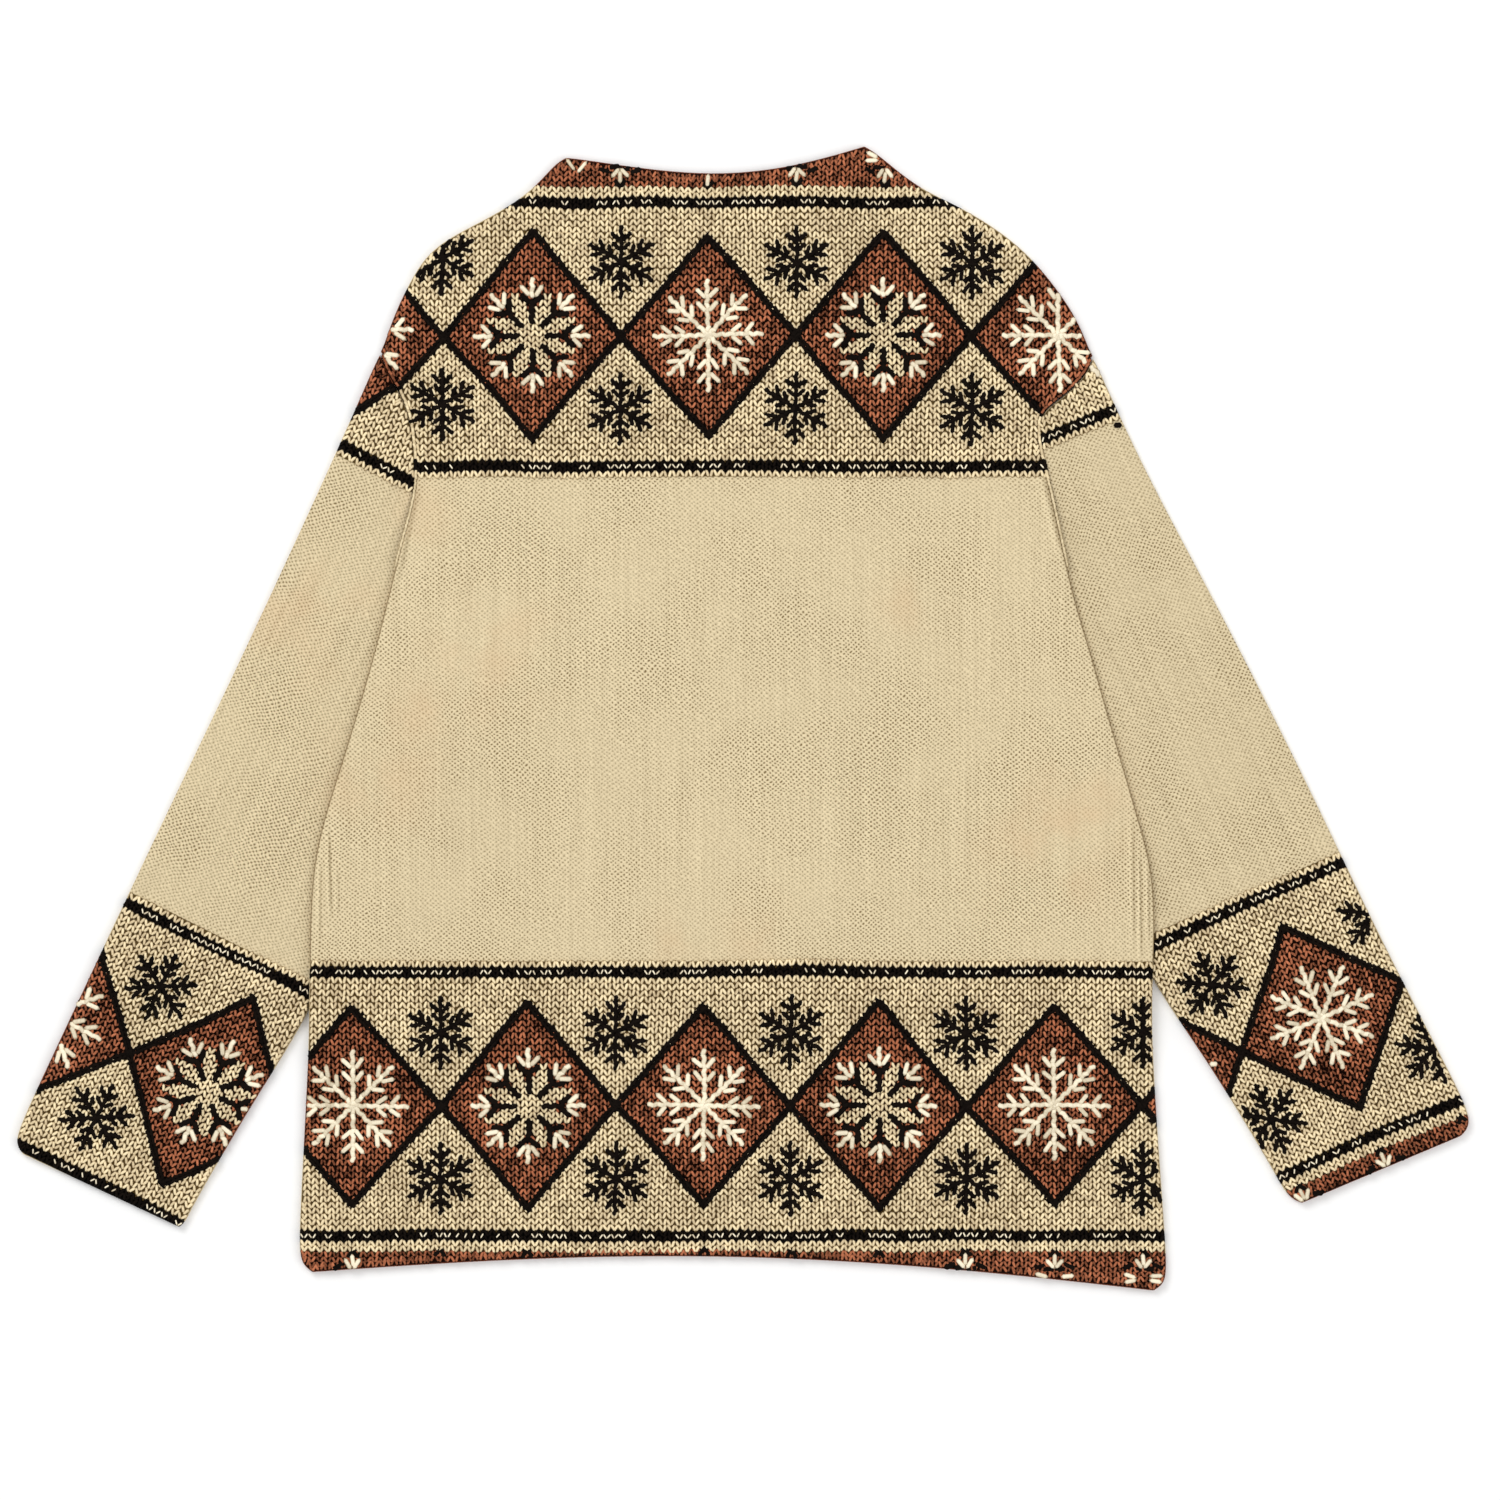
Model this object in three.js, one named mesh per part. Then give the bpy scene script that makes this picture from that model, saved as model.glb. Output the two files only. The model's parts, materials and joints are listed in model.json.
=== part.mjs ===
// A fair isle cardigan laid flat, back side up. Millimetres, +Z up, neck towards +Y.
//
// Five knitted pieces: the back with its grown-on neck stand, the left and right fronts
// under it, and two sleeves. Each sleeve is a flattened tube, open at the armhole and at
// the cuff. The sleeves butt against the upper armhole, and below it their inner edges are
// tucked under the body, which rises over them. Left and right are as seen from above.

import * as THREE from "three";

// ---------- driving dimensions ----------

const WALL = 2.0; // thickness of the knitted cloth
const SEAM_GAP = 0.3; // air between two pieces that meet
const EDGE_ROUND = 1.4; // width over which a free edge rounds off
const EDGE_THICKNESS = 0.8; // what is left of the wall at the very edge
const LAYERS = 2 * WALL + SEAM_GAP; // two layers of cloth lying on each other
const SLEEVE_LIFT = LAYERS + SEAM_GAP; // how high a tucked sleeve lifts the body

const NECK_DIP = 13; // the back neck edge sags this far between its corners
const NECK_SKEW = 1.15; // above 1, the lowest place of the dip moves to the right
const NECK_DIP_ENDS_Y = 300; // the dip fades out at this height
const HEM_ARCH = 14.8; // the hem rises this far between its corners
const HEM_ARCH_STARTS_Y = -200;

const NECK_STRIP = 17; // width of a front at its neck corner
const V_NECK_POINT_Y = 160; // where the two fronts meet
const V_NECK_BOW = 0.1; // how far the neck edge bows away from a straight line

const TUCK_MARGIN = 14; // the body stays lifted this far past the tucked sleeve
const TUCK_RAMP = 38; // and comes down to the surface over this distance

// Sections across the body from the neck to the hem: the left and the right edge, how far
// the body has risen over the sleeves (0 to 1), and how far the sleeves reach under it.
const BODY_SECTIONS = [
  { leftX: -106.5, leftY: 336.2, rightX: 72.5, rightY: 343.1, rise: 0, tuck: 0 },
  { leftX: -113.0, leftY: 332.5, rightX: 80.5, rightY: 338.5, rise: 0, tuck: 0 },
  { leftX: -125.5, leftY: 318.0, rightX: 104.0, rightY: 318.3, rise: 0, tuck: 0 },
  { leftX: -140.0, leftY: 307.5, rightX: 128.0, rightY: 307.8, rise: 0, tuck: 0 },
  { leftX: -157.0, leftY: 298.0, rightX: 148.0, rightY: 296.0, rise: 0, tuck: 0 },
  { leftX: -176.0, leftY: 288.5, rightX: 165.0, rightY: 283.3, rise: 0, tuck: 0 },
  { leftX: -190.0, leftY: 278.0, rightX: 178.0, rightY: 270.0, rise: 0, tuck: 0 },
  { leftX: -200.0, leftY: 262.0, rightX: 192.0, rightY: 252.0, rise: 0, tuck: 0 },
  { leftX: -209.0, leftY: 243.0, rightX: 201.0, rightY: 237.0, rise: 0, tuck: 0 },
  { leftX: -217.5, leftY: 220.0, rightX: 209.3, rightY: 217.5, rise: 0, tuck: 0 },
  { leftX: -211.0, leftY: 205.5, rightX: 202.5, rightY: 205.0, rise: 0, tuck: 0 },
  { leftX: -203.0, leftY: 193.5, rightX: 189.5, rightY: 192.8, rise: 0, tuck: 0 },
  { leftX: -198.0, leftY: 177.0, rightX: 175.8, rightY: 184.2, rise: 0, tuck: 0 },
  { leftX: -196.0, leftY: 155.0, rightX: 177.0, rightY: 165.0, rise: 0, tuck: 0 },
  { leftX: -196.0, leftY: 135.0, rightX: 181.5, rightY: 148.0, rise: 0.15, tuck: 0 },
  { leftX: -205.5, leftY: 103.0, rightX: 190.5, rightY: 107.0, rise: 1, tuck: 6 },
  { leftX: -213.0, leftY: 72.0, rightX: 197.5, rightY: 73.0, rise: 1, tuck: 20 },
  { leftX: -221.0, leftY: 40.0, rightX: 208.0, rightY: 40.0, rise: 1, tuck: 40 },
  { leftX: -231.0, leftY: 5.0, rightX: 217.5, rightY: 5.0, rise: 1, tuck: 58 },
  { leftX: -241.5, leftY: -29.0, rightX: 227.5, rightY: -29.0, rise: 1, tuck: 54 },
  { leftX: -251.5, leftY: -60.0, rightX: 236.5, rightY: -60.0, rise: 1, tuck: 50 },
  { leftX: -258.0, leftY: -89.0, rightX: 245.0, rightY: -90.0, rise: 1, tuck: 44 },
  { leftX: -259.7, leftY: -123.0, rightX: 246.6, rightY: -123.0, rise: 1, tuck: 28 },
  { leftX: -260.0, leftY: -152.0, rightX: 245.2, rightY: -152.0, rise: 1, tuck: 16 },
  { leftX: -260.4, leftY: -181.0, rightX: 244.7, rightY: -178.0, rise: 1, tuck: 6 },
  { leftX: -261.0, leftY: -204.0, rightX: 245.5, rightY: -203.0, rise: 0, tuck: 0 },
  { leftX: -263.5, leftY: -252.0, rightX: 248.5, rightY: -252.0, rise: 0, tuck: 0 },
  { leftX: -266.0, leftY: -300.0, rightX: 252.3, rightY: -304.0, rise: 0, tuck: 0 },
  { leftX: -266.4, leftY: -320.0, rightX: 254.0, rightY: -331.0, rise: 0, tuck: 0 },
  { leftX: -264.2, leftY: -327.5, rightX: 252.0, rightY: -339.0, rise: 0, tuck: 0 },
  { leftX: -258.5, leftY: -332.0, rightX: 246.0, rightY: -343.1, rise: 0, tuck: 0 },
];
const LAST_SECTION = BODY_SECTIONS.length - 1;

// The armhole is the part of the side edge between these two body sections.
const ARMHOLE = { top: 9, bottom: 15 };

// Columns from a side edge to the centre, as shares of the body's width. They are closer
// together near the sides, where the body rises over the sleeves.
const HALF_COLUMNS = [0, 0.02, 0.05, 0.085, 0.125, 0.18, 0.25, 0.33, 0.42, 0.5];

// Each sleeve: the end of its head that is hidden under the body, its outer edge below the
// armhole, and its inner edge, from the hidden underarm to the cuff.
const SLEEVES = {
  sleeve_left: {
    side: -1,
    hiddenHead: [[-196, 72], [-184, 42], [-174, 14]],
    outerEdge: [[-246.5, 155], [-302, 35], [-348, -61], [-409, -190.5],
      [-434.5, -246], [-437, -254.5], [-432.5, -261]],
    innerEdge: [[-217, -80], [-260.5, -176], [-296, -234], [-330.5, -293.5],
      [-334, -301], [-338, -305.3]],
  },
  sleeve_right: {
    side: 1,
    hiddenHead: [[181, 72], [171, 42], [166, 14]],
    outerEdge: [[238, 155], [288.5, 59], [337, -37], [383, -133],
      [433, -231.5], [437, -242], [430.5, -250.3]],
    innerEdge: [[207, -75], [247, -160], [277.5, -205], [320.5, -276],
      [326, -286], [334.5, -290.8]],
  },
};
// Places of the sleeve's sections between its head (0) and its cuff (1).
const SLEEVE_STATIONS = [0, 0.06, 0.13, 0.21, 0.3, 0.39, 0.48, 0.57, 0.66, 0.75, 0.84,
  0.92, 0.965, 0.985, 1];
const HEAD_FADES_AT = 0.45; // the head's curve has faded out at this station

// Half of the section through a folded edge: how far in from the fold, and how high above
// the mid plane, for the outside and for the inside of the cloth.
const FOLD_PROFILE = [
  { outIn: 0, outUp: 0, inIn: 2.1, inUp: 0 },
  { outIn: 0.6, outUp: 1.45, inIn: 2.3, inUp: 0.1 },
  { outIn: 2.2, outUp: LAYERS / 2, inIn: 3.2, inUp: SEAM_GAP / 2 },
];

const CREAM = 0xd5c4a1;
const CREAM_BANDS = 0xc9b58d;

// ---------- small helpers ----------

const clamp01 = (value) => Math.min(1, Math.max(0, value));
const lerp = (a, b, share) => a + (b - a) * share;

function smooth(value) {
  const t = clamp01(value);
  return t * t * (3 - 2 * t);
}

// A closed mesh with its faces turned outwards.
function closedMesh(name, vertices, triangles, colour) {
  let volume = 0;
  for (const [a, b, c] of triangles) {
    const [p, q, r] = [vertices[a], vertices[b], vertices[c]];
    volume += p[0] * (q[1] * r[2] - q[2] * r[1])
      + p[1] * (q[2] * r[0] - q[0] * r[2])
      + p[2] * (q[0] * r[1] - q[1] * r[0]);
  }
  const outward = volume < 0 ? triangles.map(([a, b, c]) => [a, c, b]) : triangles;
  const geometry = new THREE.BufferGeometry();
  geometry.setAttribute("position", new THREE.Float32BufferAttribute(vertices.flat(), 3));
  geometry.setIndex(outward.flat());
  geometry.computeVertexNormals();
  const material = new THREE.MeshStandardMaterial({ color: colour, roughness: 0.95, metalness: 0 });
  const mesh = new THREE.Mesh(geometry, material);
  mesh.name = name;
  return mesh;
}

function addQuad(triangles, a, b, c, d) {
  triangles.push([a, b, c], [a, c, d]);
}

// ---------- the body: back and fronts ----------

// A section between two rows of the table, by its position counted in rows.
function bodySection(position) {
  const index = Math.min(Math.floor(position), LAST_SECTION - 1);
  const [above, below] = [BODY_SECTIONS[index], BODY_SECTIONS[index + 1]];
  const section = {};
  for (const column of Object.keys(above)) {
    section[column] = lerp(above[column], below[column], position - index);
  }
  section.width = Math.hypot(section.rightX - section.leftX, section.rightY - section.leftY);
  return section;
}

// The place on the body at a section and at a share of its width, with the neck's dip and
// the hem's arch.
function bodyPlace(section, across) {
  const x = lerp(section.leftX, section.rightX, across);
  const y = lerp(section.leftY, section.rightY, across);
  const nearNeck = clamp01((y - NECK_DIP_ENDS_Y) / (BODY_SECTIONS[0].leftY - NECK_DIP_ENDS_Y));
  const nearHem = clamp01((HEM_ARCH_STARTS_Y - y)
    / (HEM_ARCH_STARTS_Y - BODY_SECTIONS[LAST_SECTION].leftY));
  const dip = NECK_DIP * nearNeck * Math.sin(Math.PI * across ** NECK_SKEW);
  const arch = HEM_ARCH * nearHem * Math.sin(Math.PI * across);
  return [x, y - dip + arch];
}

// How high the body lies above the surface, where the sleeves are tucked under it.
function bodyLift(section, across) {
  const fromSide = Math.min(across, 1 - across) * section.width;
  const ramp = (section.tuck + TUCK_MARGIN + TUCK_RAMP - fromSide) / TUCK_RAMP;
  return SLEEVE_LIFT * section.rise * smooth(ramp);
}

// The share of the body's width where a front ends, counted from its own side. The neck
// edge runs down from the strip at the neck corner to the centre.
function frontWidth(section, side) {
  const top = BODY_SECTIONS[0];
  const y = (section.leftY + section.rightY) / 2;
  const down = clamp01((top.leftY - y) / (top.leftY - V_NECK_POINT_Y));
  const toCentre = down - V_NECK_BOW * Math.sin(Math.PI * down);
  const centre = (section.leftX + section.rightX) / 2;
  const cornerX = side < 0 ? top.leftX : top.rightX;
  const edgeX = lerp(cornerX - side * NECK_STRIP, centre, toCentre);
  const sideX = side < 0 ? section.leftX : section.rightX;
  return Math.abs(edgeX - sideX) / (section.rightX - section.leftX);
}

// Two extra rows and columns follow the edges, where the cloth rounds off.
const ROW_POSITIONS = [0, 0.18, ...Array.from({ length: LAST_SECTION - 1 }, (_, i) => i + 1),
  LAST_SECTION - 0.2, LAST_SECTION];

// A panel of the body. columns(section) gives the shares of the width from left to right;
// base is the height of its underside over the lifted surface; roundTop says whether its
// edges round off above or below.
function bodyPanel(name, columns, base, roundTop) {
  const vertices = [];
  const rows = ROW_POSITIONS.length;
  let count = 0;
  ROW_POSITIONS.forEach((position, row) => {
    const section = bodySection(position);
    const places = columns(section);
    count = places.length;
    places.forEach((across, column) => {
      const atEdge = row === 0 || row === rows - 1 || column === 0 || column === count - 1;
      const cut = atEdge ? WALL - EDGE_THICKNESS : 0;
      const [x, y] = bodyPlace(section, across);
      const underside = base + bodyLift(section, across);
      const low = underside + (roundTop ? 0 : cut);
      const high = underside + WALL - (roundTop ? cut : 0);
      vertices.push([x, y, high], [x, y, low]);
    });
  });
  const top = (row, column) => 2 * (row * count + column);
  const triangles = [];
  for (let row = 0; row < rows - 1; row += 1) {
    for (let column = 0; column < count - 1; column += 1) {
      const corners = [top(row, column), top(row + 1, column), top(row + 1, column + 1),
        top(row, column + 1)];
      addQuad(triangles, ...corners);
      const [a, b, c, d] = corners.map((corner) => corner + 1);
      triangles.push([a, c, b], [a, d, c]);
    }
  }
  const rim = [];
  for (let row = 0; row < rows - 1; row += 1) rim.push(top(row, 0));
  for (let column = 0; column < count - 1; column += 1) rim.push(top(rows - 1, column));
  for (let row = rows - 1; row > 0; row -= 1) rim.push(top(row, count - 1));
  for (let column = count - 1; column > 0; column -= 1) rim.push(top(0, column));
  rim.forEach((corner, i) => {
    const next = rim[(i + 1) % rim.length];
    addQuad(triangles, corner + 1, next + 1, next, corner);
  });
  return closedMesh(name, vertices, triangles, CREAM);
}

function backColumns(section) {
  const edge = EDGE_ROUND / section.width;
  const leftHalf = [0, edge, ...HALF_COLUMNS.slice(1)];
  const rightHalf = leftHalf.slice(0, -1).reverse().map((across) => 1 - across);
  return [...leftHalf, ...rightHalf];
}

// The columns of a front, as shares of the body's width counted from its own side.
function frontColumns(section, side) {
  const edge = EDGE_ROUND / section.width;
  const width = frontWidth(section, side);
  const end = width - SEAM_GAP / 2 / section.width;
  const inner = HALF_COLUMNS.slice(1, -1).map((across) => across * width * 2);
  return [0, edge, ...inner, end - edge, end];
}

const frontLeftColumns = (section) => frontColumns(section, -1);
const frontRightColumns = (section) => (
  frontColumns(section, 1).reverse().map((across) => 1 - across));

// ---------- the sleeves ----------

// The armhole edge of the body, moved out by the seam's gap.
function armholeEdge(side) {
  const points = BODY_SECTIONS.map((row) => (
    side < 0 ? [row.leftX, row.leftY] : [row.rightX, row.rightY]));
  const edge = [];
  for (let row = ARMHOLE.top; row <= ARMHOLE.bottom; row += 1) {
    const before = row === ARMHOLE.top ? points[row] : points[row - 1];
    const [dx, dy] = [points[row + 1][0] - before[0], points[row + 1][1] - before[1]];
    const outward = (side * 1.5 * SEAM_GAP) / Math.hypot(dx, dy);
    edge.push([points[row][0] - dy * outward, points[row][1] + dx * outward]);
  }
  return edge;
}

function smoothPath(points) {
  const vectors = points.map(([x, y]) => new THREE.Vector3(x, y, 0));
  return new THREE.CatmullRomCurve3(vectors, false, "centripetal");
}

// Distances along a broken line, as shares of its length.
function sharesAlong(points) {
  const lengths = [0];
  for (let i = 1; i < points.length; i += 1) {
    lengths.push(lengths[i - 1]
      + Math.hypot(points[i][0] - points[i - 1][0], points[i][1] - points[i - 1][1]));
  }
  return lengths.map((length) => length / lengths.at(-1));
}

// A place on a broken line, by its share of the length.
function placeAlong(points, shares, share) {
  let i = 1;
  while (i < shares.length - 1 && shares[i] < share) i += 1;
  const part = (share - shares[i - 1]) / (shares[i] - shares[i - 1]);
  return [lerp(points[i - 1][0], points[i][0], part), lerp(points[i - 1][1], points[i][1], part)];
}

// The walls of a flattened tube at one station: a loop of outside points and one of inside
// points, from the outer fold over the top to the inner fold and back under it.
function sleeveLoops(placeAt, width, shares) {
  const half = [];
  for (const row of FOLD_PROFILE) {
    half.push({ out: row.outIn / width, outUp: row.outUp, in: row.inIn / width, inUp: row.inUp });
  }
  for (const share of shares.slice(1, -1)) {
    half.push({ out: share, outUp: LAYERS / 2, in: share, inUp: SEAM_GAP / 2 });
  }
  for (const row of [...FOLD_PROFILE].reverse()) {
    half.push({
      out: 1 - row.outIn / width, outUp: row.outUp, in: 1 - row.inIn / width, inUp: row.inUp,
    });
  }
  const under = half.slice(1, -1).reverse();
  const point = (share, up) => [...placeAt(share), LAYERS / 2 + up];
  return {
    outside: [...half.map((k) => point(k.out, k.outUp)), ...under.map((k) => point(k.out, -k.outUp))],
    inside: [...half.map((k) => point(k.in, k.inUp)), ...under.map((k) => point(k.in, -k.inUp))],
  };
}

function sleeve(name, { side, hiddenHead, outerEdge, innerEdge }) {
  const head = [...armholeEdge(side), ...hiddenHead];
  const shares = sharesAlong(head);
  const outer = smoothPath([head[0], ...outerEdge]);
  const inner = smoothPath([head.at(-1), ...innerEdge]);
  const vertices = [];
  let count = 0;
  for (const station of SLEEVE_STATIONS) {
    const [start, end] = [outer.getPointAt(station), inner.getPointAt(station)];
    const headShare = 1 - smooth(station / HEAD_FADES_AT);
    const placeAt = (share) => {
      const [headX, headY] = placeAlong(head, shares, share);
      const bowX = headX - lerp(head[0][0], head.at(-1)[0], share);
      const bowY = headY - lerp(head[0][1], head.at(-1)[1], share);
      return [lerp(start.x, end.x, share) + bowX * headShare,
        lerp(start.y, end.y, share) + bowY * headShare];
    };
    const { outside, inside } = sleeveLoops(placeAt, start.distanceTo(end), shares);
    count = outside.length;
    vertices.push(...outside, ...inside);
  }
  const out = (station, k) => station * 2 * count + (k % count);
  const inn = (station, k) => out(station, k) + count;
  const last = SLEEVE_STATIONS.length - 1;
  const triangles = [];
  for (let k = 0; k < count; k += 1) {
    for (let j = 0; j < last; j += 1) {
      addQuad(triangles, out(j, k), out(j + 1, k), out(j + 1, k + 1), out(j, k + 1));
      addQuad(triangles, inn(j, k), inn(j, k + 1), inn(j + 1, k + 1), inn(j + 1, k));
    }
    addQuad(triangles, out(0, k), out(0, k + 1), inn(0, k + 1), inn(0, k));
    addQuad(triangles, out(last, k + 1), out(last, k), inn(last, k), inn(last, k + 1));
  }
  return closedMesh(name, vertices, triangles, CREAM_BANDS);
}

// ---------- the garment ----------

const cardigan = new THREE.Group();
cardigan.add(bodyPanel("back", backColumns, WALL + SEAM_GAP, true));
cardigan.add(bodyPanel("front_left", frontLeftColumns, 0, false));
cardigan.add(bodyPanel("front_right", frontRightColumns, 0, false));
for (const [name, shape] of Object.entries(SLEEVES)) {
  cardigan.add(sleeve(name, shape));
}

export default cardigan;
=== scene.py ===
# %% [markdown]
# # A fair isle cardigan laid flat
# The cardigan lies on a pale surface with its back up. Its form comes from the frame: a
# back, two fronts under it and two sleeves, all thin solids of real size. Here each solid
# gets a smooth cloth shell, a fine knit on the plain cloth, and, in the patterned bands,
# real stitches that lie on the shell. Everything is in metres.

# %% Tools and the frame
import json
import math
import random

import bmesh
import bpy
from mathutils import Vector, noise
from mathutils.bvhtree import BVHTree
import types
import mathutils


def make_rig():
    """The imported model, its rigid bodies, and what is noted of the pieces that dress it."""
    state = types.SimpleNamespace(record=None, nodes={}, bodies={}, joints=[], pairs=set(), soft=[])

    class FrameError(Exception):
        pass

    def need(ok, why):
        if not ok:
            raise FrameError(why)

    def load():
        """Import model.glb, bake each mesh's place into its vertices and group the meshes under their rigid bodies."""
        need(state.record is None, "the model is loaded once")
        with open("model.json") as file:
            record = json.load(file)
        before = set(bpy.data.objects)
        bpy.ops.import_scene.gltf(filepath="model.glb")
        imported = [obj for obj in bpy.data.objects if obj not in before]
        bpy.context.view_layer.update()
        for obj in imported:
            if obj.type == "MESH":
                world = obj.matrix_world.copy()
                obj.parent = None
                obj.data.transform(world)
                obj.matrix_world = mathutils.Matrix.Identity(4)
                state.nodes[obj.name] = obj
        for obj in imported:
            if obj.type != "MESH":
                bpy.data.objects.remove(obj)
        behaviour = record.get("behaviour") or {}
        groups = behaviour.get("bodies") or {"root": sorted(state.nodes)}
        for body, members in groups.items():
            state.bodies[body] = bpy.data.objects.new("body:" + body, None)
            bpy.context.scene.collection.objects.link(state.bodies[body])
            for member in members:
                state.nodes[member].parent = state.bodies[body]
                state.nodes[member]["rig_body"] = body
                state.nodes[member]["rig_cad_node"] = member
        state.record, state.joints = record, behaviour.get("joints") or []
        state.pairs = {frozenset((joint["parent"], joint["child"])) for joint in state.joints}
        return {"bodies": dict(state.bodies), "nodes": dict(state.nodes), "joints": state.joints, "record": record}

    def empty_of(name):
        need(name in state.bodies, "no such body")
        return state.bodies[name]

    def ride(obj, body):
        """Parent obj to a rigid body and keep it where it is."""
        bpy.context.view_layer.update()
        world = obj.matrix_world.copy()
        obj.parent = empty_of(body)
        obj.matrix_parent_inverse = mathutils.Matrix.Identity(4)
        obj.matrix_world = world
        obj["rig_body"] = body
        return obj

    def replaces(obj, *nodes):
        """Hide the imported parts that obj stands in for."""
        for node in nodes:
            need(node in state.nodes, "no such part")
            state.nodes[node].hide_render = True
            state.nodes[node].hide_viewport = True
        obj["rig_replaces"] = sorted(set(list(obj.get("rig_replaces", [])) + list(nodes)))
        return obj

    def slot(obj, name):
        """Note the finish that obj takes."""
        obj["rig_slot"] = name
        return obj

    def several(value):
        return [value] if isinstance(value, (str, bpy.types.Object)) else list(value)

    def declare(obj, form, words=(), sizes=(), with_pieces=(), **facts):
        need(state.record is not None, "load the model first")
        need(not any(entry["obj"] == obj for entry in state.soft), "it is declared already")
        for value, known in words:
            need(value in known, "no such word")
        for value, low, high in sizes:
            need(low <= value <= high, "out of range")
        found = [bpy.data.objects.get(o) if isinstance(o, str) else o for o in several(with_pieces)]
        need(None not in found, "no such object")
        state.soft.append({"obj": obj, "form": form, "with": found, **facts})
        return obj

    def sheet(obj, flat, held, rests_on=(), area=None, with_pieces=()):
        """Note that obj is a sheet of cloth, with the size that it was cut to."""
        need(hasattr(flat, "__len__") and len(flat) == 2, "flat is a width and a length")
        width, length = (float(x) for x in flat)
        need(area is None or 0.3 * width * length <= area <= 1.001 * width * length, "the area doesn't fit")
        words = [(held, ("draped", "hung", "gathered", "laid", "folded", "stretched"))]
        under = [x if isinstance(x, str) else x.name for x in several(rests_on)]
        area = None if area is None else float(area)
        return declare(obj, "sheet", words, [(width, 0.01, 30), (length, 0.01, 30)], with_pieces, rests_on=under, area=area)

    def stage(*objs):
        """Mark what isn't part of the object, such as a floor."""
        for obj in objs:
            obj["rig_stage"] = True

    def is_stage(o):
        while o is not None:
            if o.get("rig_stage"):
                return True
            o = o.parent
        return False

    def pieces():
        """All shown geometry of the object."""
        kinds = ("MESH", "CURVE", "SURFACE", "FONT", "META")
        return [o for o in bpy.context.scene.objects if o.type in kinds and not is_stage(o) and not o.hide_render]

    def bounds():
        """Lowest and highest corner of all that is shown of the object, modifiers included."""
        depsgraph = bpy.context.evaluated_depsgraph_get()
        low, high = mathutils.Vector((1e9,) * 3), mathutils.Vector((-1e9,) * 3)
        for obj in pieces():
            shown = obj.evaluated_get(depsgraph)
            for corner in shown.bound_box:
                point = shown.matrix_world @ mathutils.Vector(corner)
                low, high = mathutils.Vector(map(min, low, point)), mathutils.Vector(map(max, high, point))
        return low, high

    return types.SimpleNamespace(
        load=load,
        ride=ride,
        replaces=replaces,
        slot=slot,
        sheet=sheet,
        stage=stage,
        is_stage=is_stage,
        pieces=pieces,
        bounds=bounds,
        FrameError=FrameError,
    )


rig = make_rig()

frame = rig.load()
frame_box = [list(corner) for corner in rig.bounds()]
MM = 0.001
print("frame nodes:", sorted(frame["nodes"]))

# %% [markdown]
# ## The camera, the floor and the light
# The cardigan is seen from straight above, so the camera looks down with a long lens,
# which keeps the outline free of perspective. Two large soft lamps and a bright world make
# even light, and the upper left lamp is the stronger one, so that the stitches cast short
# shadows.

# %% Camera
VIEW_CENTRE = Vector((3.9, -18.9, 0)) * MM  # a little below the middle of the garment
VIEW_WIDTH = 900 * MM  # what the square picture takes in
LENS = 200
SENSOR = 36

scene = bpy.context.scene
camera_data = bpy.data.cameras.new("camera")
camera_data.lens = LENS
camera_data.sensor_width = SENSOR
camera = bpy.data.objects.new("camera", camera_data)
camera.location = VIEW_CENTRE + Vector((0, 0, VIEW_WIDTH * LENS / SENSOR))
scene.collection.objects.link(camera)
scene.camera = camera
scene.view_settings.view_transform = "Standard"
print("camera height:", round(camera.location.z, 2), "m")

# %% Floor and lamps
FLOOR_SIZE = 14.0
FLOOR_BELOW = 0.2 * MM  # the floor lies just under the cloth
LAMPS = [
    {"name": "key", "place": (-1.5, 1.9, 2.6), "size": 1.8, "power": 48},
    {"name": "fill", "place": (2.2, -1.2, 2.8), "size": 2.8, "power": 30},
]
WORLD_STRENGTH = 0.72


def make_floor():
    floor_mesh = bpy.data.meshes.new("floor")
    half = FLOOR_SIZE / 2
    corners = [(x, y, -FLOOR_BELOW) for x, y in ((-half, -half), (half, -half), (half, half), (-half, half))]
    floor_mesh.from_pydata(corners, [], [(0, 1, 2, 3)])
    floor = bpy.data.objects.new("floor", floor_mesh)
    scene.collection.objects.link(floor)
    paper = bpy.data.materials.new("pale_paper")
    paper.use_nodes = True
    shader = paper.node_tree.nodes["Principled BSDF"]
    shader.inputs["Base Color"].default_value = (0.97, 0.97, 0.965, 1)
    shader.inputs["Roughness"].default_value = 0.9
    floor_mesh.materials.append(paper)
    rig.stage(floor)
    return floor


def make_lamp(name, place, size, power):
    data = bpy.data.lights.new(name, "AREA")
    data.shape = "DISK"
    data.size = size
    data.energy = power
    lamp = bpy.data.objects.new(name, data)
    lamp.location = place
    lamp.rotation_euler = (-Vector(place)).to_track_quat("-Z", "Y").to_euler()
    scene.collection.objects.link(lamp)


floor = make_floor()
for lamp in LAMPS:
    make_lamp(**lamp)
world = bpy.data.worlds.new("soft_room")
world.use_nodes = True
world.node_tree.nodes["Background"].inputs["Color"].default_value = (1, 1, 1, 1)
world.node_tree.nodes["Background"].inputs["Strength"].default_value = WORLD_STRENGTH
scene.world = world
print("lamps:", [lamp["name"] for lamp in LAMPS])

# %% [markdown]
# ## Shader maths as plain expressions
# A node tree is easier to read as a formula. `Maths` wraps one number in a tree, and each
# operator on it adds a Math node. Any other node comes from `Tree.node`, which takes the
# node's type, its settings and what goes into its sockets.

# %% Expression helper


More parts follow.
